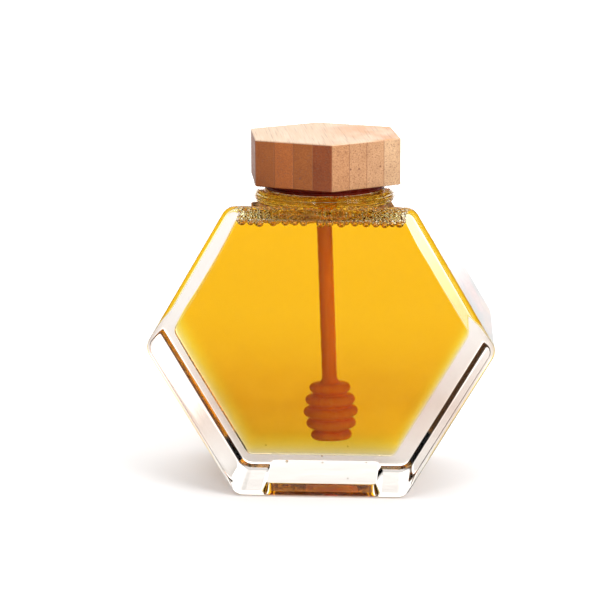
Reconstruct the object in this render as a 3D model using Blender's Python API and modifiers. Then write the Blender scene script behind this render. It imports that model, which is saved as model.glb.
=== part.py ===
"""Hexagonal honey jar: thick clear glass, honey up into its neck, a turned wooden dipper
standing in it, and a hexagonal wooden lid on a dark seal ring.

Metres, +Z up. The origin is on the surface that the jar stands on, under the middle of
its foot. The flat hexagonal face of the jar looks along -Y, and its width runs along X.
"""
import math

import bmesh
import bpy
from mathutils import Matrix, Vector

# Driving sizes. The height is the photograph's label. The width and the lid are midway
# between the labels and what the picture itself measures at that height. The width is
# measured across the sharp corners of the outline, before they are rounded.
JAR_HEIGHT = 0.118
BODY_WIDTH = 0.1159
BODY_DEPTH = 0.056
LID_ACROSS = 0.0552
LID_HEIGHT = 0.0155

# The jar's outline in the XZ plane: its half widths and the heights they are at.
FOOT_HALF = 0.0283
WAIST_HEIGHT = 0.0503
SHOULDER_HALF = 0.0303
SHOULDER_HEIGHT = 0.0976
CORNER_RADIUS = 0.0050
RIM_RADIUS = 0.0020

# Walls of the body. The lower ones and the foot are much thicker than the upper ones.
UPPER_WALL = 0.0050
LOWER_WALL = 0.0103
FACE_WALL = 0.0045
FOOT_WALL = 0.0135
SHOULDER_WALL = 0.0045
CAVITY_CORNER_RADIUS = 0.0030
CAVITY_RIM_RADIUS = 0.0018

# The low round neck and its mouth.
NECK_TOP = 0.0996
NECK_RADIUS = 0.0232
NECK_LIP = 0.0012
NECK_FILLET = 0.0008
MOUTH_RADIUS = 0.0183

# The wide shallow hollow pressed into the foot. Its front and back slope far more than its
# ends: each taper is how much the hollow has drawn in by its ceiling.
PUNT_WIDTH = 0.0402
PUNT_DEPTH = 0.0500
PUNT_RISE = 0.0033
PUNT_SIDE_TAPER = 0.0016
PUNT_FRONT_TAPER = 0.0041
PUNT_CORNER_RADIUS = 0.0040
PUNT_EDGE_RADIUS = 0.0010

# The seal ring that fills the gap between the glass and the lid.
SEAL_RADIUS = 0.0202
SEAL_EDGE = 0.0006

# The lid's edges are barely broken, and it was pressed in with a small turn.
LID_CHAMFER = 0.0005
LID_TURN = math.radians(8.0)

# The dipper: a thin stick that leans a little, and a turned head with five discs.
DIPPER_LEAN = math.radians(1.9)
STICK_RADIUS = 0.0025
HEAD_DISC_RADII = (0.0069, 0.0084, 0.0092, 0.0084, 0.0069)
HEAD_PITCH = 0.0041
DISC_THICKNESS = 0.0032
GROOVE_DEPTH = 0.0013
HEAD_FOOT = 0.0150

HONEY_LEVEL = 0.0989

# Pieces that touch keep this gap between their solids.
GAP = 0.0003

# How finely round shapes are cut into flats.
NECK_STEPS = 72
DIPPER_STEPS = 32
CORNER_STEPS = 6
RIM_STEPS = 4


def new_collection(name):
    collection = bpy.data.collections.new(name)
    bpy.context.scene.collection.children.link(collection)
    return collection


for old in list(bpy.data.objects):
    bpy.data.objects.remove(old, do_unlink=True)
PARTS = new_collection("hexagonal honey jar")
CUTTERS = new_collection("cutters")


def plain_material(name, colour, roughness, transmission=0.0):
    """A Principled BSDF with the piece's own colour, roughness and clearness."""
    material = bpy.data.materials.new(name)
    material.use_nodes = True
    shader = material.node_tree.nodes["Principled BSDF"]
    shader.inputs["Base Color"].default_value = (*colour, 1.0)
    shader.inputs["Roughness"].default_value = roughness
    shader.inputs["Metallic"].default_value = 0.0
    shader.inputs["Transmission Weight"].default_value = transmission
    material.diffuse_color = (*colour, 1.0)
    return material


def object_from(bm, name, collection, material=None):
    """Turn a bmesh into a named object in a collection. A cutter shows as wires only."""
    mesh = bpy.data.meshes.new(name)
    bmesh.ops.recalc_face_normals(bm, faces=bm.faces)
    bm.to_mesh(mesh)
    bm.free()
    made = bpy.data.objects.new(name, mesh)
    collection.objects.link(made)
    if material:
        mesh.materials.append(material)
    if collection is CUTTERS:
        made.hide_render = True
        made.display_type = "WIRE"
    return made


def add_boolean(target, other, operation):
    modifier = target.modifiers.new(f"{operation.lower()} {other.name}", "BOOLEAN")
    modifier.object = other
    modifier.operation = operation
    modifier.solver = "EXACT"


def smooth(made, degrees=35):
    """Shade smooth, with edges sharper than the angle kept crisp."""
    made.data.shade_smooth()
    made.data.set_sharp_from_angle(angle=math.radians(degrees))


def arc(centre, radius, start, end, steps):
    """Points on an arc in a turned outline; angles in degrees from the outward axis."""
    angles = [math.radians(start + (end - start) * step / steps) for step in range(steps + 1)]
    return [(centre[0] + radius * math.cos(a), centre[1] + radius * math.sin(a)) for a in angles]


def turned(name, outline, collection, material=None, steps=NECK_STEPS):
    """A turned solid: an outline of (radius, height) pairs, top to bottom, and a Screw."""
    bm = bmesh.new()
    verts = [bm.verts.new((radius, 0.0, height)) for radius, height in outline]
    for upper, lower in zip(verts, verts[1:]):
        bm.edges.new((upper, lower))
    made = object_from(bm, name, collection, material)
    screw = made.modifiers.new("turn", "SCREW")
    screw.axis = "Z"
    screw.steps = steps
    screw.render_steps = steps
    screw.use_merge_vertices = True
    screw.merge_threshold = 0.00001
    screw.use_smooth_shade = True
    return made


def round_edges(bm, edges, radius, steps):
    """Round edges to a true radius, as the bevel's own width runs along the faces."""
    bm.normal_update()
    half_turn = sum(edge.calc_face_angle() for edge in edges) / len(edges) / 2
    bmesh.ops.bevel(
        bm,
        geom=edges,
        offset=radius * math.tan(half_turn),
        offset_type="OFFSET",
        segments=steps,
        profile=0.5,
        affect="EDGES",
    )
    bm.normal_update()


def outer_outline():
    """The six corners of the glass in the XZ plane, anticlockwise from the right foot."""
    right = [(FOOT_HALF, 0.0), (BODY_WIDTH / 2, WAIST_HEIGHT), (SHOULDER_HALF, SHOULDER_HEIGHT)]
    left = [(-x, z) for x, z in reversed(right)]
    return [Vector(corner) for corner in right + left]


def moved_inwards(outline, walls):
    """Move each side of an outline inwards by its wall, and find the new corners."""
    lines = []
    for start, end, wall in zip(outline, outline[1:] + outline[:1], walls):
        along = (end - start).normalized()
        inward = Vector((-along.y, along.x))
        lines.append((start + inward * wall, along))
    corners = []
    for (before, before_along), (point, along) in zip(lines[-1:] + lines[:-1], lines):
        reach = (point - before).cross(along) / before_along.cross(along)
        corners.append(before + before_along * reach)
    return corners


def hexagonal_block(outline, depth, corner_radius, rim_radius):
    """A slab with a hexagonal outline, centred on Y = 0, with rounded edges.

    The six edges that run front to back take the corner radius, and the edges round the
    front and back faces take the rim radius.
    """
    bm = bmesh.new()
    bmesh.ops.create_circle(bm, cap_ends=True, segments=len(outline), radius=1.0)
    bm.verts.ensure_lookup_table()
    for vert, (x, z) in zip(bm.verts, outline):
        vert.co = (x, -depth / 2, z)
    grown = bmesh.ops.extrude_face_region(bm, geom=list(bm.faces))
    moved = [item for item in grown["geom"] if isinstance(item, bmesh.types.BMVert)]
    bmesh.ops.translate(bm, verts=moved, vec=(0.0, depth, 0.0))
    bmesh.ops.recalc_face_normals(bm, faces=bm.faces)
    runs = [edge for edge in bm.edges if is_along_y(edge)]
    round_edges(bm, runs, corner_radius, CORNER_STEPS)
    rims = [edge for edge in bm.edges if is_rim(edge)]
    round_edges(bm, rims, rim_radius, RIM_STEPS)
    return bm


def is_along_y(edge):
    run = edge.verts[1].co - edge.verts[0].co
    return abs(run.y) > 0.99 * run.length


def is_rim(edge):
    """True for an edge between the front or back face and the band round the slab."""
    flat = [abs(face.normal.y) > 0.9 for face in edge.link_faces]
    return any(flat) and not all(flat)


def inner_space(name, collection, inset, top):
    """The form of the space inside the glass, or of what fills it, up to a height."""
    walls = (LOWER_WALL, UPPER_WALL, SHOULDER_WALL, UPPER_WALL, LOWER_WALL, FOOT_WALL)
    outline = moved_inwards(outer_outline(), [wall + inset for wall in walls])
    depth = BODY_DEPTH - 2 * (FACE_WALL + inset)
    bm = hexagonal_block(outline, depth, CAVITY_CORNER_RADIUS, CAVITY_RIM_RADIUS)
    space = object_from(bm, name, collection)
    radius = MOUTH_RADIUS - inset
    throat_outline = [(0.0, top), (radius, top), (radius, WAIST_HEIGHT), (0.0, WAIST_HEIGHT)]
    throat = turned(f"{name}_throat", throat_outline, CUTTERS)
    add_boolean(space, throat, "UNION")
    return space


def neck_form():
    """The low drum of the neck: a round lip above, and a small fillet onto the shoulder."""
    outline = [(0.0, NECK_TOP)]
    outline += arc((NECK_RADIUS - NECK_LIP, NECK_TOP - NECK_LIP), NECK_LIP, 90, 0, 5)
    foot = SHOULDER_HEIGHT + NECK_FILLET
    outline += arc((NECK_RADIUS + NECK_FILLET, foot), NECK_FILLET, 180, 262, 4)
    sunk = SHOULDER_HEIGHT - SHOULDER_WALL / 2
    outline += [(outline[-1][0], sunk), (0.0, sunk)]
    return turned("neck_form", outline, CUTTERS)


def punt_form():
    """The cutter for the hollow in the foot: sloping sides and round corners."""
    bm = bmesh.new()
    bmesh.ops.create_cube(bm, size=1.0)
    below = 0.0004
    for vert in bm.verts:
        height = PUNT_RISE if vert.co.z > 0 else -below
        share = height / PUNT_RISE
        vert.co.x = math.copysign(PUNT_WIDTH / 2 - share * PUNT_SIDE_TAPER, vert.co.x)
        vert.co.y = math.copysign(PUNT_DEPTH / 2 - share * PUNT_FRONT_TAPER, vert.co.y)
        vert.co.z = height
    uprights = [edge for edge in bm.edges if abs(edge.verts[0].co.z - edge.verts[1].co.z) > below]
    round_edges(bm, uprights, PUNT_CORNER_RADIUS, CORNER_STEPS)
    ceiling = [edge for edge in bm.edges if min(v.co.z for v in edge.verts) > PUNT_RISE * 0.99]
    round_edges(bm, ceiling, PUNT_EDGE_RADIUS, 2)
    return object_from(bm, "punt_form", CUTTERS)


def make_glass():
    glass = plain_material("clear glass", (0.93, 0.96, 0.95), 0.02, 1.0)
    block = hexagonal_block(outer_outline(), BODY_DEPTH, CORNER_RADIUS, RIM_RADIUS)
    jar = object_from(block, "glass_jar", PARTS, glass)
    add_boolean(jar, neck_form(), "UNION")
    above_mouth = NECK_TOP + 0.01
    add_boolean(jar, inner_space("space_inside", CUTTERS, 0.0, above_mouth), "DIFFERENCE")
    add_boolean(jar, punt_form(), "DIFFERENCE")
    smooth(jar)


def dipper_outline(grow=0.0):
    """The dipper from its top end down to its round foot, thicker all over by an amount."""
    top = JAR_HEIGHT - LID_HEIGHT - 2 * GAP
    first = HEAD_FOOT + HEAD_PITCH * (len(HEAD_DISC_RADII) - 1) + DISC_THICKNESS / 2
    bulge = DISC_THICKNESS / 2
    outline = [(0.0, top + 3 * grow), (STICK_RADIUS + grow, top + 3 * grow)]
    outline.append((STICK_RADIUS + grow, first + 1.7 * bulge))
    for index, radius in enumerate(HEAD_DISC_RADII):
        height = first - index * HEAD_PITCH
        outline += arc((radius - bulge + grow, height), bulge, 70, -70, 4)
        if index + 1 < len(HEAD_DISC_RADII):
            core = min(radius, HEAD_DISC_RADII[index + 1]) - GROOVE_DEPTH
            outline.append((core + grow, height - HEAD_PITCH / 2))
    foot_radius = HEAD_DISC_RADII[-1] - bulge
    outline.append((foot_radius * 0.75 + grow, HEAD_FOOT - 0.0001 - grow))
    outline.append((0.0, HEAD_FOOT - 0.0003 - grow))
    return outline


def lean(made):
    """Lean a piece about the middle of the lid's underside, its foot to the right."""
    pivot = Matrix.Translation((0.0, 0.0, JAR_HEIGHT - LID_HEIGHT))
    made.matrix_world = pivot @ Matrix.Rotation(-DIPPER_LEAN, 4, "Y") @ pivot.inverted()


def make_dipper():
    wood = plain_material("turned wood", (0.70, 0.42, 0.18), 0.5)
    dipper = turned("dipper", dipper_outline(), PARTS, wood, DIPPER_STEPS)
    lean(dipper)


def make_dipper_room():
    """The room that the honey and the seal ring leave for the dipper."""
    room = turned("dipper_room", dipper_outline(GAP), CUTTERS, steps=DIPPER_STEPS)
    lean(room)
    return room


def make_honey(room):
    amber = plain_material("honey", (0.95, 0.62, 0.08), 0.05, 1.0)
    honey = inner_space("honey", PARTS, GAP, HONEY_LEVEL)
    honey.data.materials.append(amber)
    add_boolean(honey, room, "DIFFERENCE")
    smooth(honey)


def make_seal(room):
    rubber = plain_material("dark seal", (0.12, 0.03, 0.02), 0.25)
    low = NECK_TOP + GAP
    high = JAR_HEIGHT - LID_HEIGHT - GAP
    centre = SEAL_RADIUS - SEAL_EDGE
    outline = [(0.0, high)]
    outline += arc((centre, high - SEAL_EDGE), SEAL_EDGE, 90, 0, 3)
    outline += arc((centre, low + SEAL_EDGE), SEAL_EDGE, 0, -90, 3)
    outline.append((0.0, low))
    seal = turned("seal_ring", outline, PARTS, rubber)
    add_boolean(seal, room, "DIFFERENCE")


def make_lid():
    timber = plain_material("laminated wood", (0.76, 0.52, 0.32), 0.55)
    bm = bmesh.new()
    radius = LID_ACROSS / 2
    bmesh.ops.create_cone(
        bm, cap_ends=True, segments=6, radius1=radius, radius2=radius, depth=LID_HEIGHT
    )
    bmesh.ops.rotate(bm, verts=bm.verts, matrix=Matrix.Rotation(LID_TURN, 3, "Z"))
    bmesh.ops.translate(bm, verts=bm.verts, vec=(0.0, 0.0, JAR_HEIGHT - LID_HEIGHT / 2))
    bmesh.ops.bevel(
        bm, geom=list(bm.edges), offset=LID_CHAMFER, segments=2, profile=0.5, affect="EDGES"
    )
    lid = object_from(bm, "wood_lid", PARTS, timber)
    smooth(lid, 25)


make_glass()
dipper_room = make_dipper_room()
make_honey(dipper_room)
make_dipper()
make_seal(dipper_room)
make_lid()
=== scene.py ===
# %% [markdown]
# # A hexagonal jar of honey
#
# The real object is a thick slab of pressed glass with a six-sided front, full of clear
# yellow honey. A turned wooden dipper stands in it, and a six-sided block of laminated
# wood shuts it on a dark seal ring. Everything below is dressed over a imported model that
# already has the real sizes, so the first step loads it and keeps its box.

# %% Load the fixed frame
import bpy
import numpy as np
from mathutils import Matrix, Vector


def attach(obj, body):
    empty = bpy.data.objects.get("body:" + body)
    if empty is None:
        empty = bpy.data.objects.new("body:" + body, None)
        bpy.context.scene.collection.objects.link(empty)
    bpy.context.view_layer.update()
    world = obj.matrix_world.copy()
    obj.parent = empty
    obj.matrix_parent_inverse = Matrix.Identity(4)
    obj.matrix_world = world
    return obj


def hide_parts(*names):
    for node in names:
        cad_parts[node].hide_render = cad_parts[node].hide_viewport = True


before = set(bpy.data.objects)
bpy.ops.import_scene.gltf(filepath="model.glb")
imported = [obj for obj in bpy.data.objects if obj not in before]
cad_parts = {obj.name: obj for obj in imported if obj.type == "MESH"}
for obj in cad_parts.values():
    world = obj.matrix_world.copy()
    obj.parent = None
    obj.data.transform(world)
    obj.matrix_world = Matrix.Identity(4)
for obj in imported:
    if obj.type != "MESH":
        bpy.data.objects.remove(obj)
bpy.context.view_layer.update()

BODY = "root"
print("nodes in the frame:", sorted(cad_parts))

# %% [markdown]
# ## The camera first
#
# The photograph looks at the jar from a little to the right and from well above the lid.
# Its place follows from the corners of the lid and of the glass. The picture is 600 by
# 600, and the lens is worked out so that one millimetre at the middle of the jar covers
# the same number of pixels as in the photograph.

# %% Place the camera
PICTURE, SENSOR_WIDTH = 600, 36.0
MIDDLE_HEIGHT = 0.0575
EYE_DISTANCE = 0.70
EYE_HEIGHT = 0.2150
EYE_YAW = np.radians(3.1)
PIXELS_PER_METRE = 2948.0
MIDDLE_PIXEL = (324.6, 310.2)


def aim(thing, place, target):
    """Stand a lamp or camera at a place so that its own -Z axis looks at the target."""
    thing.location = place
    look = Vector(target) - Vector(place)
    thing.rotation_euler = look.to_track_quat("-Z", "Y").to_euler()
    return look.length


camera_data = bpy.data.cameras.new("camera")
camera = bpy.data.objects.new("camera", camera_data)
bpy.context.scene.collection.objects.link(camera)
eye = (EYE_DISTANCE * np.sin(EYE_YAW), -EYE_DISTANCE * np.cos(EYE_YAW), EYE_HEIGHT)
reach = aim(camera, eye, (0.0, 0.0, MIDDLE_HEIGHT))
camera_data.sensor_width = SENSOR_WIDTH
camera_data.lens = SENSOR_WIDTH * PIXELS_PER_METRE * reach / PICTURE
camera_data.shift_x = (PICTURE / 2 - MIDDLE_PIXEL[0]) / PICTURE
camera_data.shift_y = (MIDDLE_PIXEL[1] - PICTURE / 2) / PICTURE
camera_data.clip_start = 0.01
bpy.context.scene.camera = camera
print("lens, mm:", round(camera_data.lens, 1))

# %% [markdown]
# ## Sizes of the glass
#
# The outline is a nearly regular hexagon on a short side. It can be given by the corners
# of its right half alone. The walls are what pressed glass has: thin at the upper sides
# and the two faces, thick at the lower sides, and thickest at the foot.

# %% Name the sizes
HALF_DEPTH = 0.028
OUTER_CORNERS = np.array([(0.0283, 0.0), (0.05795, 0.0503), (0.0303, 0.0976)])
WALLS = np.array([0.0135, 0.0103, 0.0050, 0.0045])
FACE_WALL = 0.0045
CORNER_RADIUS, RIM_RADIUS = 0.0050, 0.0020
CAVITY_CORNER, CAVITY_RIM = 0.0030, 0.0018
NECK_RADIUS, NECK_TOP, NECK_LIP, NECK_FILLET = 0.0232, 0.0996, 0.0010, 0.0008
MOUTH_RADIUS, MOUTH_EDGE = 0.0183, 0.0007
PUNT_HALF_WIDTH, PUNT_HALF_DEPTH, PUNT_CORNER = 0.0201, 0.0250, 0.0050
PUNT_RISE, PUNT_TAPER, PUNT_SIDE_TAPER = 0.0033, 0.0041, 0.0016
PUNT_LIP, PUNT_COVE = 0.0005, 0.0010
HONEY_LEVEL, MENISCUS = 0.0989, 0.0005
UNDERSIDE = OUTER_CORNERS[2, 1] - WALLS[3]
print("underside of the shoulder, mm:", round(UNDERSIDE * 1000, 2))

# %% [markdown]
# ## A closed skin from a grid
#
# Every turned or moulded piece here is one grid of points: each row is a closed loop
# round the piece, and the rows follow its outline from one end to the other. The two
# ends close on a single point each, so there is no seam and no hole. The enclosed volume
# is worked out from the faces, and its sign says whether they look outwards.

# %% Make a mesh object from rows of points
def skin_arrays(rows, first, last):
    """Points and faces of a closed skin: rows (n, m, 3) wrap round, ends are two points."""
    n, m = rows.shape[:2]
    points = np.vstack([rows.reshape(-1, 3), first, last])
    here = np.arange(n * m).reshape(n, m)
    side = np.roll(here, -1, axis=1)
    quads = np.stack([here[:-1], side[:-1], side[1:], here[1:]], axis=-1).reshape(-1, 4)
    head = np.stack([np.full(m, n * m), side[0], here[0]], axis=-1)
    tail = np.stack([np.full(m, n * m + 1), here[-1], side[-1]], axis=-1)
    a, b, c, d = (points[quads[:, k]] for k in range(4))
    volume = (a * np.cross(b, c)).sum() + (a * np.cross(c, d)).sum()
    if volume < 0:
        quads, head, tail = quads[:, ::-1], head[:, ::-1], tail[:, ::-1]
    return points, quads, np.vstack([head, tail])


def mesh_object(name, points, quads, triangles):
    """A smooth-shaded mesh object at the origin, riding on the jar's one body."""
    mesh = bpy.data.meshes.new(name)
    mesh.from_pydata(points.tolist(), [], quads.tolist() + triangles.tolist())
    mesh.update()
    mesh.shade_smooth()
    made = bpy.data.objects.new(name, mesh)
    bpy.context.scene.collection.objects.link(made)
    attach(made, BODY)
    print(name, "has", len(mesh.polygons), "faces")
    return made


def keep_crisp(made, degrees):
    """Shade every edge that turns by more than this angle as a real edge."""
    made.data.set_sharp_from_angle(angle=np.radians(degrees))


# %% [markdown]
# ## Quarter sections
#
# The jar is the same left and right, and front and back, so a loop is worked out for one
# quarter and mirrored. Every quarter has the same columns: along the side, round the
# upright corner, and along the front. A column close to each rounded stretch keeps the
# flat faces flat under smooth shading, which matters in glass, because a bent normal
# shows as a bent picture behind it.

# %% Columns of a quarter
SUPPORT = 0.00025
SIDE_STEPS, CORNER_STEPS, FRONT_STEPS = 9, 9, 16
QUARTER = SIDE_STEPS + CORNER_STEPS + FRONT_STEPS
CORNER_SHARE = np.arange(1, CORNER_STEPS + 1) / CORNER_STEPS


def full_loop(quarter):
    """Mirror a quarter (.., n + 1, 3) that starts on the X axis and ends on the Y axis."""
    start, rest = quarter[..., :-1, :], quarter[..., :0:-1, :]
    left, back, right = (-1, 1, 1), (-1, -1, 1), (1, -1, 1)
    return np.concatenate([start, rest * left, start * back, rest * right], axis=-2)


def side_shares(length):
    """Shares 0 to 1 along the side, the last but one a support away from the end."""
    even = np.linspace(0.0, 1.0 - SUPPORT / length, SIDE_STEPS)
    return np.append(even, 1.0)


def front_shares(length):
    """Shares 0 to 1 along the front, the first one a support away from the corner."""
    return np.linspace(SUPPORT / length, 1.0, FRONT_STEPS)


print("columns in a quarter:", QUARTER)

# %% [markdown]
# ## The outline and its rounded corners
#
# The right half of the outline is walked from the foot to the shoulder. Each corner is an
# arc about the point that lies one radius inside both of its sides, and the outward
# normal turns evenly along it. The same walk serves the glass outside, the space inside
# it, and the honey, because only the corners and radii differ.

# %% Walk the outline
ARC_STEPS, RUN_STEPS, RIM_STEPS = 8, 5, 6
CLOSING = np.array([0.0010, 0.0015])


def side_normals(corners):
    """Outward normals of the four lines: foot, lower side, upper side and shoulder."""
    along = np.diff(corners, axis=0)
    along /= np.linalg.norm(along, axis=1)[:, None]
    turned = np.stack([along[:, 1], -along[:, 0]], axis=1)
    return np.vstack([(0.0, -1.0), turned, (0.0, 1.0)])


def moved_inwards(corners, walls):
    """Each line moves inwards by its wall; a corner is where two moved lines cross."""
    normals = side_normals(corners)
    on_line = np.vstack([corners, corners[-1:]])
    offsets = (normals * on_line).sum(axis=1) - walls
    pairs = [(normals[[k, k + 1]], offsets[[k, k + 1]]) for k in range(3)]
    return np.array([np.linalg.solve(both, offset) for both, offset in pairs])


def walk(corners, radius):
    """Points and normals up the right half: arcs at the corners, straight runs between."""
    normals = side_normals(corners)
    angles = np.arctan2(normals[:, 1], normals[:, 0])
    points, outward = [], []
    for k, corner in enumerate(corners):
        both = normals[k] + normals[k + 1]
        centre = corner - radius * both / (1.0 + normals[k] @ normals[k + 1])
        turn = np.linspace(angles[k], angles[k + 1], ARC_STEPS + 1)
        facing = np.stack([np.cos(turn), np.sin(turn)], axis=1)
        if k:
            start, end = points[-1][-1], centre + radius * facing[0]
            length = np.linalg.norm(end - start)
            share = np.linspace(SUPPORT / length, 1.0 - SUPPORT / length, RUN_STEPS + 1)
            points.append(start + (end - start) * share[:, None])
            outward.append(np.repeat(normals[k][None], RUN_STEPS + 1, axis=0))
        points.append(centre + radius * facing)
        outward.append(facing)
    return np.vstack(points), np.vstack(outward)


def slab(corners, radius, rim, half_depth):
    """Quarter sections of a slab with that outline, rounded towards front and back.

    Round the upright edge, a point moves inwards from the outline by rim * (1 - cos t)
    and forwards by rim * sin t. Under the foot and on top of the shoulder the same arc
    runs along the straight edge, and its end angle grows row by row to a quarter turn.
    These rows lie further in the flatter they are, by up to CLOSING at side and corner.
    """
    points, normals = walk(corners, radius)
    flat = half_depth - rim
    rows = []
    for end in (0, -1):
        close = []
        for share in np.linspace(0.0, 1.0, RIM_STEPS, endpoint=False):
            back_off = (1.0 - share) * CLOSING
            edge = points[end, 0] - back_off[0]
            turn = share * np.pi / 2 * CORNER_SHARE
            inwards = rim * (1 - np.cos(turn))
            side = np.stack([
                np.full(SIDE_STEPS + 1, edge),
                side_shares(flat) * flat,
                np.full(SIDE_STEPS + 1, points[end, 1]),
            ], axis=1)
            corner = np.stack([
                edge - back_off[1] * CORNER_SHARE,
                flat + rim * np.sin(turn),
                points[end, 1] - inwards * normals[end, 1],
            ], axis=1)
            last = corner[-1]
            front = last * np.ones((FRONT_STEPS, 1))
            front[:, 0] = last[0] * (1 - front_shares(last[0]))
            close.append(np.vstack([side, corner, front]))
        rows.append(np.array(close))
    turn = CORNER_SHARE * np.pi / 2
    side = np.stack(np.broadcast_arrays(
        points[:, :1], side_shares(flat) * flat, points[:, 1:]), axis=-1)
    inwards = rim * (1 - np.cos(turn))
    corner = np.stack([
        points[:, :1] - inwards * normals[:, :1],
        np.broadcast_to(flat + rim * np.sin(turn), (len(points), CORNER_STEPS)),
        points[:, 1:] - inwards * normals[:, 1:],
    ], axis=-1)
    last = corner[:, -1:, :]
    front = np.repeat(last, FRONT_STEPS, axis=1)
    front[..., 0] = last[..., 0] * (1 - front_shares(last[:, :, 0].min()))
    body = np.concatenate([side, corner, front], axis=1)
    return np.concatenate([rows[0], body, rows[1][::-1]])


outer = slab(OUTER_CORNERS, CORNER_RADIUS, RIM_RADIUS, HALF_DEPTH)
inner_corners = moved_inwards(OUTER_CORNERS, WALLS)
inner = slab(inner_corners, CAVITY_CORNER, CAVITY_RIM, HALF_DEPTH - FACE_WALL)
print("rows outside and inside:", len(outer), len(inner))

# %% [markdown]
# ## Uneven walls inside
#
# Pressed glass is never quite even inside. In the photograph the inner edge of the upper
# left wall bows inwards, and the one at the right has a small kink near the shoulder. A
# smooth pull in width gives both. The honey takes the same pull, so it follows the wall.

# %% Make the inner walls uneven
LEFT_BOW, RIGHT_BOW = 0.0011, 0.0005
KINK, KINK_HEIGHT, KINK_SPREAD = 0.0006, 0.0865, 0.0022


def uneven(rows):
    """The upper walls swell inwards by a half sine of the height, the left one more.

    On the right a small ripple, a bell curve of the height, sits near the shoulder.
    """
    x, height = rows[..., 0], rows[..., 2]
    share = np.clip((height - OUTER_CORNERS[1, 1]) / (UNDERSIDE - OUTER_CORNERS[1, 1]), 0, 1)
    swell = np.sin(np.pi * share) * np.where(x < 0, LEFT_BOW, RIGHT_BOW)
    ripple = KINK * np.exp(-((height - KINK_HEIGHT) / KINK_SPREAD) ** 2) * (x > 0)
    pulled = rows.copy()
    pulled[..., 0] -= np.clip(x / inner_corners[2, 0], -1, 1) * (swell + ripple)
    return pulled


print("the upper walls bow inwards by, mm:", LEFT_BOW * 1000, RIGHT_BOW * 1000)

# %% [markdown]
# ## Round and rectangular rings
#
# The neck is round and the hollow in the foot is a rounded rectangle, but both have the
# slab's columns, so the skin runs straight from one form into the next. Where the two
# lie in one flat surface, such as the top of the shoulder, the rows between them are a
# plain mix of both.

# %% Rings and profiles with rounded corners
CORNER_LOSS, LEAST_CORNER = 0.6, 0.0010


def rounded_profile(corners, radii, steps=6):
    """A profile of (across, up) points whose inner corners become arcs of given radii."""
    corners = np.array(corners)
    made = [corners[:1]]
    for before, corner, after, radius in zip(corners, corners[1:], corners[2:], radii):
        back, on = before - corner, after - corner
        back, on = back / np.linalg.norm(back), on / np.linalg.norm(on)
        half = np.arccos(np.clip(back @ on, -1, 1)) / 2
        centre = corner + (back + on) / np.linalg.norm(back + on) * radius / np.sin(half)
        first = corner + back * radius / np.tan(half) - centre
        final = corner + on * radius / np.tan(half) - centre
        sweep = np.pi - 2 * half
        share = np.linspace(0.0, 1.0, steps + 1)[:, None]
        arc = (np.sin((1 - share) * sweep) * first + np.sin(share * sweep) * final)
        arc = centre + arc / np.sin(sweep)
        guard = corner + back * (radius / np.tan(half) + SUPPORT)
        after_guard = corner + on * (radius / np.tan(half) + SUPPORT)
        made += [guard[None], arc, after_guard[None]]
    made.append(corners[-1:])
    return np.vstack(made)


def circles(profile):
    """Quarter rings of a (radius, height) profile, at even angles."""
    turn = np.linspace(0.0, np.pi / 2, QUARTER + 1)
    radius, height = profile[:, :1], profile[:, 1:]
    return np.stack(np.broadcast_arrays(
        radius * np.cos(turn), radius * np.sin(turn), height), axis=-1)


def rounded_boxes(half_width, half_depth, radius, profile, side_share=1.0):
    """Quarter rings of a rounded rectangle that shrinks by the profile's first column.

    The width shrinks by a share of what the depth does, so the sides can be steeper.
    """
    made = []
    for shrink, height in profile:
        x, y = half_width - shrink * side_share, half_depth - shrink
        r = max(radius - shrink * CORNER_LOSS, LEAST_CORNER)
        turn = CORNER_SHARE * np.pi / 2
        side = np.stack([np.full(SIDE_STEPS + 1, x), side_shares(y - r) * (y - r)], axis=1)
        corner = np.stack([x - r + r * np.cos(turn), y - r + r * np.sin(turn)], axis=1)
        front = np.stack([(x - r) * (1 - front_shares(x - r)), np.full(FRONT_STEPS, y)], axis=1)
        flat = np.vstack([side, corner, front])
        made.append(np.column_stack([flat, np.full(len(flat), height)]))
    return np.array(made)


def mix(one, other, shares):
    """Rings between two rings; share 0 is the first and 1 the second."""
    shares = np.array(shares)[:, None, None]
    return one * (1 - shares) + other * shares


# %% [markdown]
# ## The glass
#
# The real jar is pressed in a mould and fire-polished, so its edges are soft but its
# faces are flat. The skin starts under the foot, in the middle of the pressed hollow,
# goes out over the foot, up the outside, in over the shoulder, up the neck, down through
# the mouth and round the inside to the floor. Beside the hollow, the neck and the mouth,
# a narrow ring of the flat surface is part of the same profile.

# %% Build the glass
HOLLOW_RING, FOOT_RING, SHOULDER_RING, SHELF_RING = 0.0060, 0.0008, 0.0020, 0.0018
punt_profile = rounded_profile(
    [(HOLLOW_RING, PUNT_RISE), (PUNT_TAPER, PUNT_RISE), (0.0, 0.0), (-FOOT_RING, 0.0)],
    [PUNT_COVE, PUNT_LIP])
punt = rounded_boxes(
    PUNT_HALF_WIDTH, PUNT_HALF_DEPTH, PUNT_CORNER, punt_profile, PUNT_SIDE_TAPER / PUNT_TAPER)
neck_profile = rounded_profile(
    [(NECK_RADIUS + SHOULDER_RING, OUTER_CORNERS[2, 1]), (NECK_RADIUS, OUTER_CORNERS[2, 1]),
     (NECK_RADIUS, NECK_TOP), (MOUTH_RADIUS, NECK_TOP), (MOUTH_RADIUS, UNDERSIDE),
     (MOUTH_RADIUS + SHELF_RING, UNDERSIDE)],
    [NECK_FILLET, NECK_LIP, MOUTH_EDGE, MOUTH_EDGE])
neck = circles(neck_profile)
outside = np.concatenate([
    mix(punt[0] * (0, 0, 1), punt[0], [0.15, 0.5]), punt,
    mix(punt[-1], outer[0], [0.3, 0.7]), outer,
    mix(outer[-1], neck[0], [0.1, 0.4, 0.7]), neck])
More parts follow.
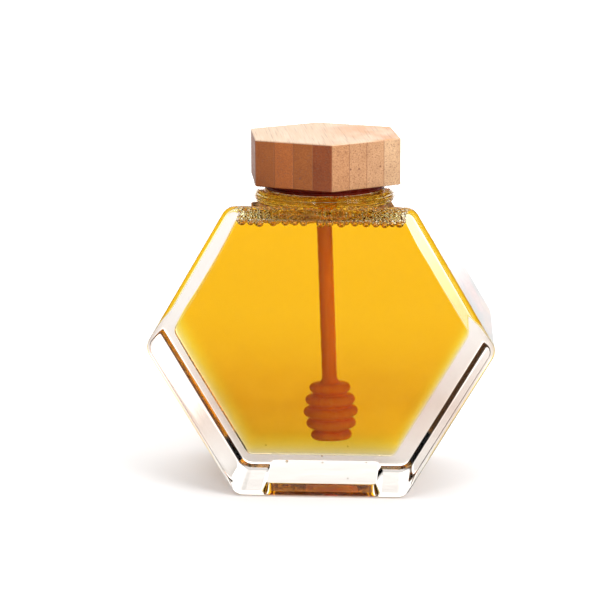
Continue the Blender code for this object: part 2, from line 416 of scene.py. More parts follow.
inside = np.concatenate([
    mix(neck[-1], inner[-1], [0.3, 0.6, 0.9]), inner[::-1],
    mix(inner[0], inner[0] * (0, 0, 1), [0.1, 0.4, 0.8])])
glass_rows = np.concatenate([full_loop(outside), uneven(full_loop(inside))])
glass_points, glass_quads, glass_ends = skin_arrays(
    glass_rows, (0.0, 0.0, PUNT_RISE), (0.0, 0.0, WALLS[0]))
print("rows and columns of the glass:", glass_rows.shape[:2])

# %% [markdown]
# ## Seeds in the foot
#
# The thick foot of such a jar has a few specks of air, called seeds, and the photograph
# shows some. A speck is a small hollow in the glass, so its faces look into the hollow,
# away from the glass. All the bubbles here come from one unit globe, placed by arrays.

# %% Bubbles as hollows
def globe(columns=10, rings=6):
    """A unit globe: rings at even heights of latitude, and a point at each pole."""
    up = np.linspace(-np.pi / 2, np.pi / 2, rings + 2)[1:-1, None]
    around = np.arange(columns) * 2 * np.pi / columns
    rows = np.stack(np.broadcast_arrays(
        np.cos(up) * np.cos(around), np.cos(up) * np.sin(around), np.sin(up)), axis=-1)
    return skin_arrays(rows, (0.0, 0.0, -1.0), (0.0, 0.0, 1.0))


def hollows(centres, sizes):
    """Many small globes, turned inside out: point = centre + size * unit point."""
    points, quads, triangles = globe()
    many = len(centres)
    placed = centres[:, None, :] + sizes[:, None, :] * points[None]
    step = (np.arange(many) * len(points))[:, None, None]
    quads = (quads[None, :, ::-1] + step).reshape(-1, 4)
    triangles = (triangles[None, :, ::-1] + step).reshape(-1, 3)
    return placed.reshape(-1, 3), quads, triangles


def joined(*parts):
    """Join (points, quads, triangles) sets into one, moving each set's face numbers on."""
    starts = np.cumsum([0] + [len(part[0]) for part in parts[:-1]])
    points = np.vstack([part[0] for part in parts])
    quads = np.vstack([part[1] + start for part, start in zip(parts, starts)])
    triangles = np.vstack([part[2] + start for part, start in zip(parts, starts)])
    return points, quads, triangles


SEEDS = np.array([
    (-0.0113, -0.0222, 0.0112), (0.0004, -0.0200, 0.0128), (0.0006, -0.0215, 0.0108),
    (0.0151, -0.0180, 0.0104), (-0.0200, 0.0100, 0.0098), (0.0080, 0.0150, 0.0085)])
seed_sizes = np.array([0.00045, 0.0003, 0.0003, 0.00025, 0.0003, 0.00025])[:, None]
seeds = hollows(SEEDS, seed_sizes * (1.0, 0.8, 1.0))
glass_all = joined((glass_points, glass_quads, glass_ends), seeds)
glass = mesh_object("pressed_glass", *glass_all)
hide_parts("glass_jar")

# %% [markdown]
# ## Which faces are wet
#
# Glass to honey bends light far less than glass to air, so the faces inside, below the
# level of the honey, get a slot of their own. The underside of the shoulder, outside the
# mouth, lies against the froth and gets a third.

# %% Mark the faces that honey and froth touch
DRY, WET, FROTHY = 0, 1, 2
SHELF_SKIN, MOUTH_SKIN = 0.00002, 0.0001
columns = glass_rows.shape[1]
face_rows = np.arange(len(glass_quads)) // columns
face_middles = glass_points[glass_quads].mean(axis=1)
down_the_mouth = len(outside) - len(neck) + int(np.argmin(neck_profile[:, 0])) - 1
is_wet = (face_rows >= down_the_mouth) & (face_middles[:, 2] < HONEY_LEVEL + MENISCUS * 0.5)
is_frothy = is_wet & (face_middles[:, 2] > UNDERSIDE - SHELF_SKIN) & (
    np.hypot(face_middles[:, 0], face_middles[:, 1]) > MOUTH_RADIUS + MOUTH_SKIN)
slots = np.full(len(glass.data.polygons), DRY, dtype=np.int32)
slots[:len(glass_quads)][is_wet] = WET
slots[:len(glass_quads)][is_frothy] = FROTHY
slots[len(glass_all[1]) + columns:len(glass_all[1]) + 2 * columns] = WET
glass.data.polygons.foreach_set("material_index", slots)
print("faces dry, wet and frothy:", np.bincount(slots))

# %% [markdown]
# ## Froth under the shoulder
#
# Honey that has just been poured in carries bubbles up, and they gather under the flat
# shoulder, all round the neck. They differ a lot in size, the large ones are pressed a
# little flat against the glass, and the small ones fill the gaps. A seeded draw proposes
# places, largest bubbles first, and keeps each one that stays clear of those before it.
# Close to the faces only small ones are kept. In the mouth they float at any depth, and
# none touches the stick.

# %% Scatter the bubbles
FROTH_SEED = 11
FROTH_TRIES = 9000
LARGEST, SMALLEST, SMALL_BIAS = 0.00150, 0.00045, 3.0
NEAR_FRONT, FRONT_LARGEST = 0.0016, 0.00062
SHELF_OVERHANG, FACE_CLEARANCE, STICK_CLEARANCE = 0.0008, 0.0004, 0.0045
EDGE_CLEARANCE, APART, FLATNESS = 0.8, 1.02, 0.92
SHELF_DEPTHS, THROAT_DEPTHS = (0.90, 1.15), (-0.0008, 0.0016)
random = np.random.default_rng(FROTH_SEED)
shelf_x = inner_corners[2, 0] + SHELF_OVERHANG
shelf_y = HALF_DEPTH - FACE_WALL - FACE_CLEARANCE
froth_centres = np.zeros((0, 3))
froth_radii = np.zeros(0)
tried_radii = SMALLEST + (LARGEST - SMALLEST) * random.random(FROTH_TRIES) ** SMALL_BIAS
for radius in np.sort(tried_radii)[::-1]:
    x, y = random.uniform(-shelf_x, shelf_x), random.uniform(-shelf_y, shelf_y)
    depth = radius * random.uniform(*SHELF_DEPTHS)
    from_axis = np.hypot(x, y)
    if abs(from_axis - MOUTH_RADIUS) < radius * EDGE_CLEARANCE or from_axis < STICK_CLEARANCE:
        continue
    if from_axis < MOUTH_RADIUS:
        depth = random.uniform(*THROAT_DEPTHS)
    if abs(x) > shelf_x - radius or abs(y) > shelf_y - radius:
        continue
    if shelf_y - abs(y) < NEAR_FRONT and radius > FRONT_LARGEST:
        continue
    place = np.array([x, y, UNDERSIDE - depth])
    away = np.linalg.norm(froth_centres - place, axis=1) - froth_radii
    if len(away) and away.min() < radius * APART:
        continue
    froth_centres = np.vstack([froth_centres, place])
    froth_radii = np.append(froth_radii, radius)
froth_sizes = froth_radii[:, None] * np.array([1.0, 1.0, FLATNESS])
print("bubbles in the froth:", len(froth_radii))

# %% [markdown]
# ## The honey
#
# Honey fills the glass up into the neck. It is the inside of the glass grown by a hair,
# so that it reaches just into the wall and no air gap shows. Its top creeps up the glass
# a little, as any liquid's does. The bubbles are hollows in this same piece.

# %% Build the honey
REACH = 0.00025
CREEP_WIDTH, CREEP_POWER = 0.0030, 2.5
SURFACE_RINGS = [(0.012, HONEY_LEVEL), (0.006, HONEY_LEVEL)]
honey_corners = moved_inwards(OUTER_CORNERS, WALLS - REACH)
honey_slab = slab(
    honey_corners, CAVITY_CORNER + REACH, CAVITY_RIM + REACH, HALF_DEPTH - FACE_WALL + REACH)
throat_radius = MOUTH_RADIUS + REACH
throat_profile = rounded_profile(
    [(throat_radius + SHELF_RING, UNDERSIDE + REACH), (throat_radius, UNDERSIDE + REACH),
     (throat_radius, HONEY_LEVEL + MENISCUS)], [MOUTH_EDGE - REACH])
creep = np.linspace(0.0, 1.0, 8)[1:]
top_profile = np.stack([
    throat_radius - CREEP_WIDTH * creep,
    HONEY_LEVEL + MENISCUS * (1 - creep) ** CREEP_POWER], axis=1)
throat = circles(throat_profile)
top = circles(np.vstack([top_profile, SURFACE_RINGS]))
honey_body = uneven(full_loop(np.concatenate([
    mix(honey_slab[0] * (0, 0, 1), honey_slab[0], [0.2, 0.6, 0.9]), honey_slab,
    mix(honey_slab[-1], throat[0], [0.1, 0.4, 0.7])])))
honey_rows = np.concatenate([honey_body, full_loop(np.concatenate([throat, top]))])
honey_parts = skin_arrays(
    honey_rows, (0.0, 0.0, WALLS[0] - REACH), (0.0, 0.0, HONEY_LEVEL))
froth_parts = hollows(froth_centres, froth_sizes)
honey_all = joined(honey_parts, froth_parts)
honey = mesh_object("honey_fill", *honey_all)
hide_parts("honey")

# %% [markdown]
# ## Where honey meets air
#
# Honey meets air at its top and in the bubbles, and nowhere else. Those faces get the
# second slot, which bends light as honey does. The faces inside the wall bend nothing.

# %% Mark the free surfaces of the honey
honey_slots = np.zeros(len(honey.data.polygons), dtype=np.int32)
honey_columns = honey_rows.shape[1]
honey_quads = len(honey_parts[1])
honey_slots[honey_quads - len(top) * honey_columns:honey_quads] = 1
honey_slots[honey_quads:len(honey_all[1])] = 1
ends = len(honey_all[1])
honey_slots[ends + honey_columns:] = 1
honey.data.polygons.foreach_set("material_index", honey_slots)
print("honey level, mm:", HONEY_LEVEL * 1000)

# %% [markdown]
# ## The dipper
#
# The dipper is turned on a lathe: a thin stick, and a head of five rounded discs with
# grooves between them. Its radius is a function of the height. Each disc is a half circle
# standing on its own radius, the grooves are the core between them, and the two are
# joined by a soft maximum. Fine tool marks ripple the surface.

# %% Turn the dipper
LID_HEIGHT, JAR_HEIGHT, GAP = 0.0155, 0.118, 0.0003
LEAN = np.radians(1.9)
STICK_RADIUS = 0.0025
DISC_RADII = np.array([0.0069, 0.0084, 0.0092, 0.0084, 0.0069])
DISC_PITCH, DISC_BULGE, GROOVE = 0.0041, 0.0016, 0.0013
CORE_FOOT, CORE_LOW, CORE_HIGH = 0.0034, 0.0050, 0.0046
HEAD_FOOT, HEAD_LENGTH, CORE_TOP, STICK_FOOT = 0.0150, 0.0204, 0.0360, 0.0363
SHARPNESS, FOOT_ROUNDING = 9000.0, (0.55, 0.85)
MARK_SIZE, MARK_RATE = 0.000015, 21000.0
WOBBLE_SIZE, WOBBLE_RATE, WOBBLE_TWIST = 0.00006, 900.0, 130.0


def dipper_radius(height):
    """Soft maximum of the stick or core and of the five discs, at each height."""
    lowest = HEAD_FOOT + DISC_BULGE
    centres = lowest + DISC_PITCH * np.arange(len(DISC_RADII))[::-1]
    between = centres[::-1][:-1] + DISC_PITCH / 2
    grooves = np.minimum(DISC_RADII[1:], DISC_RADII[:-1])[::-1] - GROOVE
    core = np.interp(
        height, [HEAD_FOOT, lowest, *between, centres[0], CORE_TOP],
        [CORE_FOOT, CORE_LOW, *grooves, CORE_HIGH, STICK_RADIUS])
    lens = np.clip(DISC_BULGE ** 2 - (height[:, None] - centres) ** 2, 0.0, None)
    discs = np.where(lens > 0, DISC_RADII - DISC_BULGE + np.sqrt(lens), 0.0)
    every = np.column_stack([core, discs])
    return np.log(np.exp(every * SHARPNESS).sum(axis=1)) / SHARPNESS


dipper_top = JAR_HEIGHT - LID_HEIGHT - 2 * GAP
heights = np.concatenate([
    HEAD_FOOT + np.linspace(0.0, HEAD_LENGTH, 170), np.linspace(STICK_FOOT, dipper_top, 60)])
turn = np.linspace(0.0, 2 * np.pi, 56, endpoint=False)
radii = dipper_radius(heights)
radii[:2] *= FOOT_ROUNDING
marks = MARK_SIZE * np.sin(heights * MARK_RATE)[:, None] * np.ones_like(turn)
twisted = turn + heights[:, None] * WOBBLE_TWIST
wobble = WOBBLE_SIZE * np.sin(heights * WOBBLE_RATE)[:, None] * np.cos(twisted)
around = radii[:, None] + marks + wobble
rows = np.stack(np.broadcast_arrays(
    around * np.cos(turn), around * np.sin(turn), heights[:, None]), axis=-1)


def leaned(points):
    """Turn points about the middle of the lid's underside, so that the foot goes right."""
    pivot = np.array([0.0, 0.0, JAR_HEIGHT - LID_HEIGHT])
    x, y, z = np.moveaxis(points - pivot, -1, 0)
    c, s = np.cos(LEAN), np.sin(LEAN)
    return np.stack([x * c - z * s, y, x * s + z * c], axis=-1) + pivot


dipper_parts = skin_arrays(
    leaned(rows), leaned(np.array([0.0, 0.0, HEAD_FOOT - 0.0002])),
    leaned(np.array([0.0, 0.0, dipper_top])))
dipper = mesh_object("turned_dipper", *dipper_parts)
keep_crisp(dipper, 60)
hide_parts("dipper")

# %% [markdown]
# ## The seal ring
#
# A dark, glossy ring fills the gap between glass and lid. It is a turned piece with two
# soft beads on its rim and a shallow groove between them.

# %% Turn the seal ring
SEAL_RADIUS, SEAL_EDGE, SEAL_CORE = 0.0202, 0.0005, 0.006
GROOVE_HALF, GROOVE_DEPTH, GROOVE_EDGE = 0.00025, 0.0004, 0.0001
LEAST_STEP = 0.00002
seal_low, seal_high = NECK_TOP + GAP, JAR_HEIGHT - LID_HEIGHT - GAP
seal_middle = (seal_low + seal_high) / 2
seal_profile = rounded_profile(
    [(SEAL_CORE, seal_low), (SEAL_RADIUS, seal_low), (SEAL_RADIUS, seal_middle - GROOVE_HALF),
     (SEAL_RADIUS - GROOVE_DEPTH, seal_middle), (SEAL_RADIUS, seal_middle + GROOVE_HALF),
     (SEAL_RADIUS, seal_high), (SEAL_CORE, seal_high)],
    [SEAL_EDGE, GROOVE_EDGE, GROOVE_EDGE, GROOVE_EDGE, SEAL_EDGE], steps=4)
seal_steps = np.linalg.norm(np.diff(seal_profile, axis=0), axis=1)
seal_profile = seal_profile[np.r_[True, seal_steps > LEAST_STEP]]
seal_parts = skin_arrays(
    full_loop(circles(seal_profile)), (0.0, 0.0, seal_low), (0.0, 0.0, seal_high))
seal = mesh_object("seal_band", *seal_parts)
keep_crisp(seal, 50)
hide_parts("seal_ring")

# %% [markdown]
# ## The lid
#
# The lid is sawn from a board glued up of straight strips, six millimetres wide, so the
# strips' ends show on four of its sides and their length on the other two and on top.
# Its edges are only just broken. The joints are fine real grooves in the sides: the
# columns of the grid are crowded where a joint comes up, and pulled in there.

# %% Shape the lid
LID_RADIUS = 0.0276
LID_TURN = np.radians(8.0)
STRIP = 0.0060
LID_CHAMFER = 0.00045
JOINT_DEPTH, JOINT_HALF = 0.00007, 0.00013
EVEN_COLUMNS, CORNER_CUT = 24, 0.012
LID_RING, LID_SKIN = 0.0030, 0.0001


def lid_columns():
    """Unit hexagon columns: side number and share along it, crowded at the joints."""
    numbers, shares = [], []
    for number in range(6):
        start, end = (np.radians(-90 + 60 * k) for k in (number, number + 1))
        across = LID_RADIUS * np.cos([start, end])
        even = np.linspace(0.03, 0.97, EVEN_COLUMNS)
        if abs(across[1] - across[0]) > 1e-6:
            joints = (np.arange(-3, 4) * STRIP - across[0]) / (across[1] - across[0])
            joints = joints[(joints > 0.05) & (joints < 0.95)]
            step = JOINT_HALF / LID_RADIUS
            even = np.concatenate([even] + [joints + k * step for k in (-1.2, -0.5, 0, 0.5, 1.2)])
        share = np.unique(np.round(np.concatenate([[CORNER_CUT], even, [1 - CORNER_CUT]]), 5))
        numbers.append(np.full(len(share), number))
        shares.append(share)
    return np.concatenate(numbers), np.concatenate(shares)


side_number, side_share = lid_columns()


def lid_ring(inset, height):
    """A hexagon ring moved inwards, with its upright edges cut a hair round."""
    start = np.radians(-90 + 60 * side_number)
    end = start + np.pi / 3
    radius = LID_RADIUS - inset / np.cos(np.pi / 6)
    x = radius * (np.cos(start) * (1 - side_share) + np.cos(end) * side_share)
    y = radius * (np.sin(start) * (1 - side_share) + np.sin(end) * side_share)
    return np.stack([x, y, np.full(len(x), height)], axis=1)


lid_low = JAR_HEIGHT - LID_HEIGHT
lid_profile = rounded_profile(
    [(LID_RING, lid_low), (0.0, lid_low), (0.0, JAR_HEIGHT), (LID_RING, JAR_HEIGHT)],
    [LID_CHAMFER, LID_CHAMFER], steps=3)
lid_rows = np.array([lid_ring(inset, height) for inset, height in lid_profile])
middle_rows = mix(lid_rows[6], lid_rows[7], np.linspace(0.1, 0.9, 9))
lid_rows = np.concatenate([lid_rows[:7], middle_rows, lid_rows[7:]])
strip_place = lid_rows[..., 0] / STRIP
to_joint = np.abs(strip_place - np.round(strip_place)) * STRIP
lid_heights = lid_rows[..., 2]
on_side = (lid_heights > lid_low + LID_SKIN) & (lid_heights < JAR_HEIGHT - LID_SKIN)
on_side &= side_number % 3 != 1
pull = JOINT_DEPTH * np.exp(-(to_joint / (JOINT_HALF * 0.6)) ** 2) * on_side
lid_rows[..., :2] *= 1 - (pull / LID_RADIUS)[..., None]
c, s = np.cos(LID_TURN), np.sin(LID_TURN)
lid_rows = np.stack([
    lid_rows[..., 0] * c - lid_rows[..., 1] * s,
    lid_rows[..., 0] * s + lid_rows[..., 1] * c, lid_rows[..., 2]], axis=-1)
lid_parts = skin_arrays(lid_rows, (0.0, 0.0, lid_low), (0.0, 0.0, JAR_HEIGHT))
lid = mesh_object("strip_wood_lid", *lid_parts)
keep_crisp(lid, 25)
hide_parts("wood_lid")

# %% [markdown]
# ## A few helpers for materials
#
# A material is a small graph of nodes. The helpers add a node, set its inputs by name,
# and link them, so that each finish below reads as a short recipe.

# %% Material helpers
def finish(name, base=None, **plain):
    """A Principled material; plain values go straight to the shader's own sockets."""
    material = bpy.data.materials.new(name)
    material.use_nodes = True
    shader = material.node_tree.nodes["Principled BSDF"]
    if base:
        shader.inputs["Base Color"].default_value = (*base, 1.0)
    for key, value in plain.items():
        shader.inputs[key.replace("_", " ")].default_value = value
    return material, shader


def node(material, kind, inputs=None, **settings):
    """Add a node, set its properties, and give each input a value or a linked socket."""
    made = material.node_tree.nodes.new(kind)
    for key, value in settings.items():
        setattr(made, key, value)
    for key, value in (inputs or {}).items():
        if isinstance(value, bpy.types.NodeSocket):
            material.node_tree.links.new(value, made.inputs[key])
        else:
            made.inputs[key].default_value = value
    return made


def link(material, source, target):
    material.node_tree.links.new(source, target)


def object_place(material, scale=(1, 1, 1), turn=0.0, move=(0, 0, 0)):
    """The piece's own coordinates in metres, turned about Z and stretched."""
    where = node(material, "ShaderNodeTexCoord")
    first = node(material, "ShaderNodeMapping", {
        "Vector": where.outputs["Object"], "Rotation": (0.0, 0.0, turn), "Location": move})
    return node(material, "ShaderNodeMapping", {
        "Vector": first.outputs["Vector"], "Scale": scale}).outputs["Vector"]


def calc(material, operation, *values, clamp=False):
    made = node(material, "ShaderNodeMath", dict(enumerate(values)), operation=operation)
    made.use_clamp = clamp
    return made.outputs[0]


def blend_colours(material, share, one, other, mode="MIX"):
    made = node(material, "ShaderNodeMix", data_type="RGBA", blend_type=mode)
    for socket, value in ((made.inputs[0], share), (made.inputs[6], one), (made.inputs[7], other)):
        if isinstance(value, bpy.types.NodeSocket):
            link(material, value, socket)
        elif isinstance(value, tuple):
            socket.default_value = (*value, 1.0)
        else:
            socket.default_value = value
    return made.outputs[2]


def noise(material, vector, scale, detail=4.0, roughness=0.55):
    return node(material, "ShaderNodeTexNoise", {
        "Vector": vector, "Scale": scale, "Detail": detail, "Roughness": roughness,
    }).outputs["Fac"]


def spread(material, value, low, high, to_low=0.0, to_high=1.0):
    """Map low..high to another range, held at its ends."""
    return node(material, "ShaderNodeMapRange", {
        "Value": value, "From Min": low, "From Max": high,
        "To Min": to_low, "To Max": to_high}).outputs["Result"]


def ramp(material, value, stops, kind="LINEAR"):
    """A colour ramp from (place, colour) stops in rising order."""
    made = node(material, "ShaderNodeValToRGB", {"Fac": value})
    made.color_ramp.interpolation = kind
    marks = made.color_ramp.elements
    for number, (position, colour) in enumerate(stops):
        if number > 1:
            marks.new(position)
        marks[number].position = position
        marks[number].color = (*colour, 1.0)
    return made.outputs["Color"]


def bump(material, shader, height, strength, distance):
    """Roughen a surface by a height pattern, without moving any point."""
    made = node(material, "ShaderNodeBump", {
        "Height": height, "Strength": strength, "Distance": distance})
    link(material, made.outputs["Normal"], shader.inputs["Normal"])


# %% [markdown]
# ## Glass and honey
#
# Clear glass bends light by 1.5. Where honey wets it, the step from glass to honey is
# almost none, and the slot for those faces has that small step alone. The honey's sides
# bend nothing for the same reason, and its colour comes from its depth: it swallows blue
# fast and green slowly, so thin honey is pale yellow and deep honey is amber.
#
# Thick glass isn't quite clear either. It dims light a little with its depth, blue most.
# A brownish band over the foot is painted reflection: a warm tint of the glass surface
# there stands in for the honey and the floor seen in the thick glass. The top of the honey
# and the bubbles have no depth colour of their own, because light that enters through
# them would be dimmed by the honey twice.

# %% Finish the glass
GLASS_BEND, HONEY_BEND = 1.5, 1.485
CLEAR_TINT, REFLECTION_TINT = (0.98, 0.975, 0.97), (0.78, 0.64, 0.57)
GLASS_COLOUR, GLASS_DEPTH = (0.36, 0.22, 0.08), 7.5
clear, clear_shader = finish(
    "clear glass", (1.0, 1.0, 1.0), Roughness=0.0, IOR=GLASS_BEND, Transmission_Weight=1.0,
    Specular_Tint=(0.25, 0.25, 0.25, 1.0))
ripple = noise(clear, object_place(clear), 55.0, 2.0)
bump(clear, clear_shader, ripple, 0.06, 0.0006)
place = node(clear, "ShaderNodeSeparateXYZ", {"Vector": object_place(clear)})
# Painted reflection: a warm band over the foot, rising from 12 mm and gone by 54 mm, stands in for
# honey and floor seen in the glass.
painted_reflection_band = calc(
    clear, "MULTIPLY", spread(clear, place.outputs["Z"], 0.012, 0.022),
    spread(clear, place.outputs["Z"], 0.032, 0.054, 1.0, 0.0))
painted_reflection_band = calc(clear, "MULTIPLY", painted_reflection_band, spread(clear, ripple, 0.3, 0.7, 0.6, 1.0))
tint = blend_colours(clear, painted_reflection_band, CLEAR_TINT, REFLECTION_TINT)
link(clear, tint, clear_shader.inputs["Base Color"])
dimming = node(clear, "ShaderNodeVolumeAbsorption", {
    "Color": (*GLASS_COLOUR, 1.0), "Density": GLASS_DEPTH})
link(clear, dimming.outputs["Volume"], clear.node_tree.nodes["Material Output"].inputs["Volume"])
wetted, _ = finish(
    "glass wetted by honey", (1.0, 1.0, 1.0), Roughness=0.0,
    IOR=GLASS_BEND / HONEY_BEND, Transmission_Weight=1.0)
frothy, _ = finish(
    "glass over froth", (1.0, 1.0, 1.0), Roughness=0.0, IOR=1.0, Transmission_Weight=1.0)
for material in (clear, wetted, frothy):
    glass.data.materials.append(material)
print("glass colour per depth:", GLASS_COLOUR, GLASS_DEPTH)

# %% Finish the honey
HONEY_COLOUR, HONEY_DEPTH = (0.992, 0.892, 0.0), 120.0
sides, _ = finish(
    "honey", (1.0, 1.0, 1.0), Roughness=0.0, IOR=1.0, Transmission_Weight=1.0)
# The warm tint of this surface, on the honey's top and the bubbles, is painted reflection of the
# wooden lid above them.
surface, _ = finish(
    "honey surface", (1.0, 0.83, 0.66), Roughness=0.0, IOR=HONEY_BEND, Transmission_Weight=1.0)
swallow = node(sides, "ShaderNodeVolumeAbsorption", {
    "Color": (*HONEY_COLOUR, 1.0), "Density": HONEY_DEPTH})
link(sides, swallow.outputs["Volume"], sides.node_tree.nodes["Material Output"].inputs["Volume"])
honey.data.materials.append(sides)
honey.data.materials.append(surface)
print("honey colour per depth:", HONEY_COLOUR, HONEY_DEPTH)

# %% [markdown]
# ## The woods and the seal
#
# Wood is long fibres. A noise pulled long in the direction of the fibres gives grain on
# a long face and fine dots on a cut one, all from one pattern in space. The lid's strips
# each have their own tone. The dipper has soaked in honey and is warm and even.

# %% Finish the dipper and the seal
soaked, soaked_shader = finish("soaked wood", Roughness=0.45, IOR=1.45)
along = object_place(soaked, (900.0, 900.0, 45.0))
fibre = noise(soaked, along, 1.0, 5.0)
tone = blend_colours(soaked, spread(soaked, fibre, 0.3, 0.7), (0.95, 0.27, 0.03), (1.0, 0.40, 0.06))
link(soaked, tone, soaked_shader.inputs["Base Color"])
bump(soaked, soaked_shader, fibre, 0.25, 0.0001)
dipper.data.materials.append(soaked)

# The near-black maroon of the seal is partly its own colour and partly painted shade, standing for
# the dark space under the lid seen through the glass rim.
dark, dark_shader = finish("dark seal", (0.15, 0.008, 0.001), Roughness=0.16, IOR=1.2)
grime = noise(dark, object_place(dark), 400.0, 3.0)
link(dark, spread(dark, grime, 0.3, 0.7, 0.18, 0.32), dark_shader.inputs["Roughness"])
bump(dark, dark_shader, grime, 0.08, 0.0001)
seal.data.materials.append(dark)
print("dipper and seal finished:", soaked.name, "and", dark.name)

# %% [markdown]
# ## The lid's strips
#
# Each strip has its own shade between red heartwood and pale sapwood. Their order comes
# from the photograph: dark strips at the left, pale ones at the right.

# %% Give each strip its tone
# The dark strips at the left and the pale ones at the right are partly the strips' own tones and
# partly painted light: shade on the lid's left-hand faces and light on its right-hand ones.
STRIP_SHADES = [0.3, 0.25, 0.45, 0.3, 0.0, 0.70, 0.77, 0.82, 1.0, 0.9]
RED_HEART, HEART = (0.235, 0.048, 0.004), (0.310, 0.085, 0.011)
WARM, SAPWOOD, PALE_SAPWOOD = (0.385, 0.104, 0.016), (0.450, 0.212, 0.088), (0.555, 0.340, 0.185)
count = len(STRIP_SHADES)
timber, timber_shader = finish("strip wood", IOR=1.45)
strips = object_place(timber, turn=-LID_TURN)
apart = node(timber, "ShaderNodeSeparateXYZ", {"Vector": strips})
strip_share = calc(timber, "ADD", calc(timber, "DIVIDE", apart.outputs["X"], STRIP * count), 0.5)
shade = ramp(timber, strip_share, [
    (number / count, (value,) * 3) for number, value in enumerate(STRIP_SHADES)], "CONSTANT")
tones = ramp(timber, shade, [
    (0.0, RED_HEART), (0.3, HEART), (0.45, WARM), (0.70, SAPWOOD), (1.0, PALE_SAPWOOD)])
print("strips across the lid:", count)

# %% [markdown]
# ## Grain of the lid
#
# All patterns share the strips' own coordinates. Fibres are thin and very long, the
# figure is broad and cloudy, pores are cells drawn out along the fibres, and the saw left
# fine level lines on the sides. The top is paler than the sides, partly as sanded wood and
# partly as painted light from above, and warmer at the right.

# %% Add the grain
fibres = noise(timber, object_place(timber, (2600.0, 60.0, 2600.0), -LID_TURN), 1.0, 3.0, 0.6)
figure = noise(timber, object_place(timber, (260.0, 22.0, 130.0), -LID_TURN), 1.0, 3.0)
pores = node(timber, "ShaderNodeTexVoronoi", {
    "Vector": object_place(timber, (1250.0, 40.0, 1250.0), -LID_TURN), "Scale": 1.0,
}).outputs["Distance"]
saw = noise(timber, object_place(timber, (80.0, 80.0, 3800.0), -LID_TURN), 1.0, 1.0)
is_top = spread(timber, apart.outputs["Z"], JAR_HEIGHT - 0.0006, JAR_HEIGHT - 0.0002)
figured = blend_colours(
    timber, spread(timber, figure, 0.25, 0.75), (0.88, 0.84, 0.80), (1.12, 1.15, 1.18))
base = blend_colours(timber, 1.0, tones, figured, "MULTIPLY")
fibred = blend_colours(
    timber, spread(timber, fibres, 0.35, 0.65), (1.12, 1.14, 1.16), (0.84, 0.76, 0.70))
base = blend_colours(timber, 1.0, base, fibred, "MULTIPLY")
# The top's paler colours are partly sanded wood and partly painted light from above.
pale = blend_colours(timber, spread(timber, figure, 0.2, 0.8), (0.77, 0.54, 0.36), (0.86, 0.67, 0.50))
patches = noise(timber, object_place(timber, (90.0, 40.0, 90.0), -LID_TURN), 1.0, 2.0)
patches = calc(
    timber, "MULTIPLY", spread(timber, patches, 0.40, 0.58, 0.0, 0.85),
    spread(timber, apart.outputs["X"], -0.004, 0.012, 0.10, 1.0))
pale = blend_colours(timber, patches, pale, (0.76, 0.36, 0.17))
pale = blend_colours(timber, spread(timber, fibres, 0.3, 0.75, 0.0, 0.4), pale, (0.70, 0.42, 0.23))
base = blend_colours(timber, is_top, base, pale)
print("the top of the lid begins at, mm:", JAR_HEIGHT * 1000)

# %% [markdown]
# ## Pores, pits and joints of the lid
#
# Pores darken the wood in small dots, and the photograph shows four larger pits, which
# are placed one by one. A thin dark line follows every joint. A joint lies where the
# place across, counted in strips, is whole. Dots and lines are fainter on the sanded top.

# %% Add pores, pits and joint lines
PITS = np.array([
    (6.4, -23.9, 109.3), (9.3, -22.2, 109.2), (16.7, -18.0, 109.3), (-9.9, -21.9, 106.3)]) / 1000
PIT_RADIUS, PIT_REACH = 0.00025, 0.00045
PORE_COLOUR, JOINT_COLOUR = (0.20, 0.07, 0.03), (0.22, 0.08, 0.03)


def fainter_on_top(share, loss):
    """Take the given part away from a share where the wood is the lid's top."""
    kept = calc(timber, "SUBTRACT", 1.0, calc(timber, "MULTIPLY", is_top, loss))
    return calc(timber, "MULTIPLY", share, kept)


speck = fainter_on_top(spread(timber, pores, 0.16, 0.36, 0.55, 0.0), 0.6)
for pit in PITS:
    away = node(timber, "ShaderNodeVectorMath", {0: strips, 1: tuple(pit)}, operation="DISTANCE")
    pit_share = spread(timber, away.outputs["Value"], PIT_RADIUS, PIT_REACH, 0.95, 0.0)
    speck = calc(timber, "MAXIMUM", speck, pit_share)
base = blend_colours(timber, speck, base, PORE_COLOUR)
across = calc(timber, "ADD", calc(timber, "DIVIDE", apart.outputs["X"], STRIP), 0.5)
from_joint = calc(
    timber, "ABSOLUTE", calc(timber, "SUBTRACT", calc(timber, "FRACT", across), 0.5))
joint_line = fainter_on_top(spread(timber, from_joint, 0.010, 0.030, 0.55, 0.0), 0.75)
base = blend_colours(timber, joint_line, base, JOINT_COLOUR)
link(timber, base, timber_shader.inputs["Base Color"])
link(timber, spread(timber, fibres, 0.3, 0.7, 0.48, 0.66), timber_shader.inputs["Roughness"])
height = calc(timber, "ADD", fibres, calc(timber, "MULTIPLY", saw, 0.4))
height = calc(timber, "SUBTRACT", height, calc(timber, "MULTIPLY", speck, 1.2))
bump(timber, timber_shader, height, 0.35, 0.00012)
lid.data.materials.append(timber)
print("pits in the lid:", len(PITS))

# %% [markdown]
# ## The floor
#
# The photograph is a white studio. The floor is pale paper that glows a little, and more
# towards the back, as a lit backdrop does. So the glass has white behind it.

# %% Lay the floor
SPAN, DROP, PAPER = 3.0, 0.0002, (0.94, 0.94, 0.94)
floor_mesh = bpy.data.meshes.new("floor")
floor_mesh.from_pydata(
    [(-SPAN, -SPAN, -DROP), (SPAN, -SPAN, -DROP), (SPAN, SPAN, -DROP), (-SPAN, SPAN, -DROP)],
    [], [(0, 1, 2, 3)])
floor = bpy.data.objects.new("floor", floor_mesh)
bpy.context.scene.collection.objects.link(floor)
paper, paper_shader = finish("white paper", PAPER, Roughness=0.9)
backwards = node(paper, "ShaderNodeSeparateXYZ", {"Vector": object_place(paper)}).outputs["Y"]
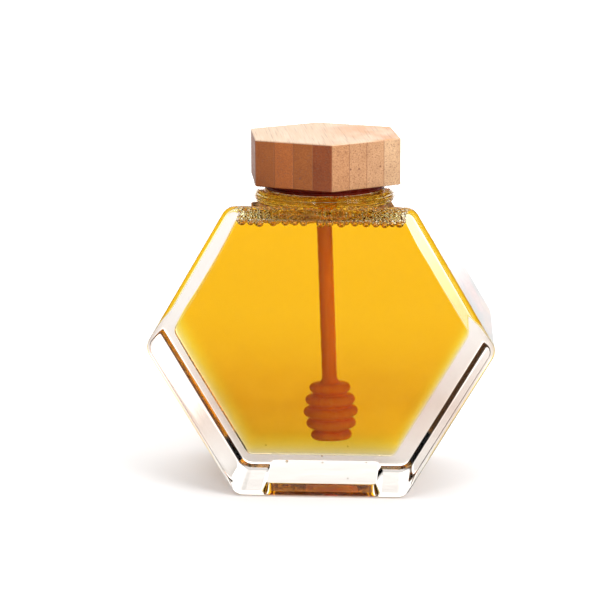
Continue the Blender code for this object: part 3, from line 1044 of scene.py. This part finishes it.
# The floor's glow is painted light: near the jar it lightens the jar's own shadow on the floor, and
# further back it stands in for a lit backdrop.
glow = calc(
    paper, "ADD", spread(paper, backwards, 0.10, 0.50, 0.19, 0.42),
    spread(paper, backwards, 0.55, 1.10, 0.0, 1.6))
paper_shader.inputs["Emission Color"].default_value = (1.0, 1.0, 1.0, 1.0)
link(paper, glow, paper_shader.inputs["Emission Strength"])
floor.data.materials.append(paper)
print("half the width of the floor, m:", SPAN)

# %% [markdown]
# ## The sky
#
# Clear glass only shows what is behind and beside it. The sky is white behind the jar,
# much darker at the sides, which draws the grey lines along the edges of the glass, dim
# on the camera's side and bright overhead. Low behind, it meets the glowing floor.

# %% Light the sky
world = bpy.data.worlds.new("studio")
world.use_nodes = True
bpy.context.scene.world = world
sky = world.node_tree.nodes["Background"]
way = node(world, "ShaderNodeTexCoord")
parts = node(world, "ShaderNodeSeparateXYZ", {"Vector": way.outputs["Generated"]})
behind = spread(world, parts.outputs["Y"], -0.45, 0.15, 0.22, 1.0)
overhead = spread(world, parts.outputs["Z"], 0.50, 0.90, 0.0, 1.1)
sideways = calc(world, "ABSOLUTE", parts.outputs["X"])
sideways = calc(
    world, "MULTIPLY", spread(world, sideways, 0.24, 0.50, 0.0, 0.95),
    spread(world, parts.outputs["Y"], -0.40, -0.10))
sideways = calc(world, "SUBTRACT", 1.0, sideways)
low_behind = calc(
    world, "MULTIPLY", spread(world, parts.outputs["Z"], 0.32, 0.20, 0.0, 2.0),
    spread(world, parts.outputs["Y"], 0.85, 0.93))
sky_light = calc(world, "ADD", calc(world, "MULTIPLY", behind, sideways), overhead)
link(world, calc(world, "ADD", sky_light, low_behind), sky.inputs["Color"])
print("sky set:", world.name)

# %% [markdown]
# ## The lamps
#
# A large soft lamp at the right, in front and above, lights the lid's right side. A small
# faint one at the left adds sparks to the froth and to the edges of the glass. Light has
# to pass many surfaces in glass, honey and froth, so it is followed for many bounces.

# %% Place the lamps
BOUNCES = 32
JAR_MIDDLE = (0.0, 0.0, 0.06)


def soft_lamp(name, place, width, height, power):
    """A rectangular lamp that looks at the middle of the jar; power in watts."""
    data = bpy.data.lights.new(name, "AREA")
    data.shape, data.size, data.size_y, data.energy = "RECTANGLE", width, height, power
    lamp = bpy.data.objects.new(name, data)
    bpy.context.scene.collection.objects.link(lamp)
    distance = aim(lamp, place, JAR_MIDDLE)
    print(name, "stands off by, m:", round(distance, 2))


soft_lamp("key lamp", (0.52, -0.46, 0.40), 0.35, 0.50, 3.9)
soft_lamp("spark lamp", (-0.12, -0.42, 0.50), 0.08, 0.04, 0.3)
scene = bpy.context.scene
scene.view_settings.view_transform = "Standard"
scene.cycles.max_bounces = BOUNCES
scene.cycles.transmission_bounces = BOUNCES
scene.cycles.transparent_max_bounces = BOUNCES
scene.cycles.caustics_refractive = True
scene.cycles.caustics_reflective = True
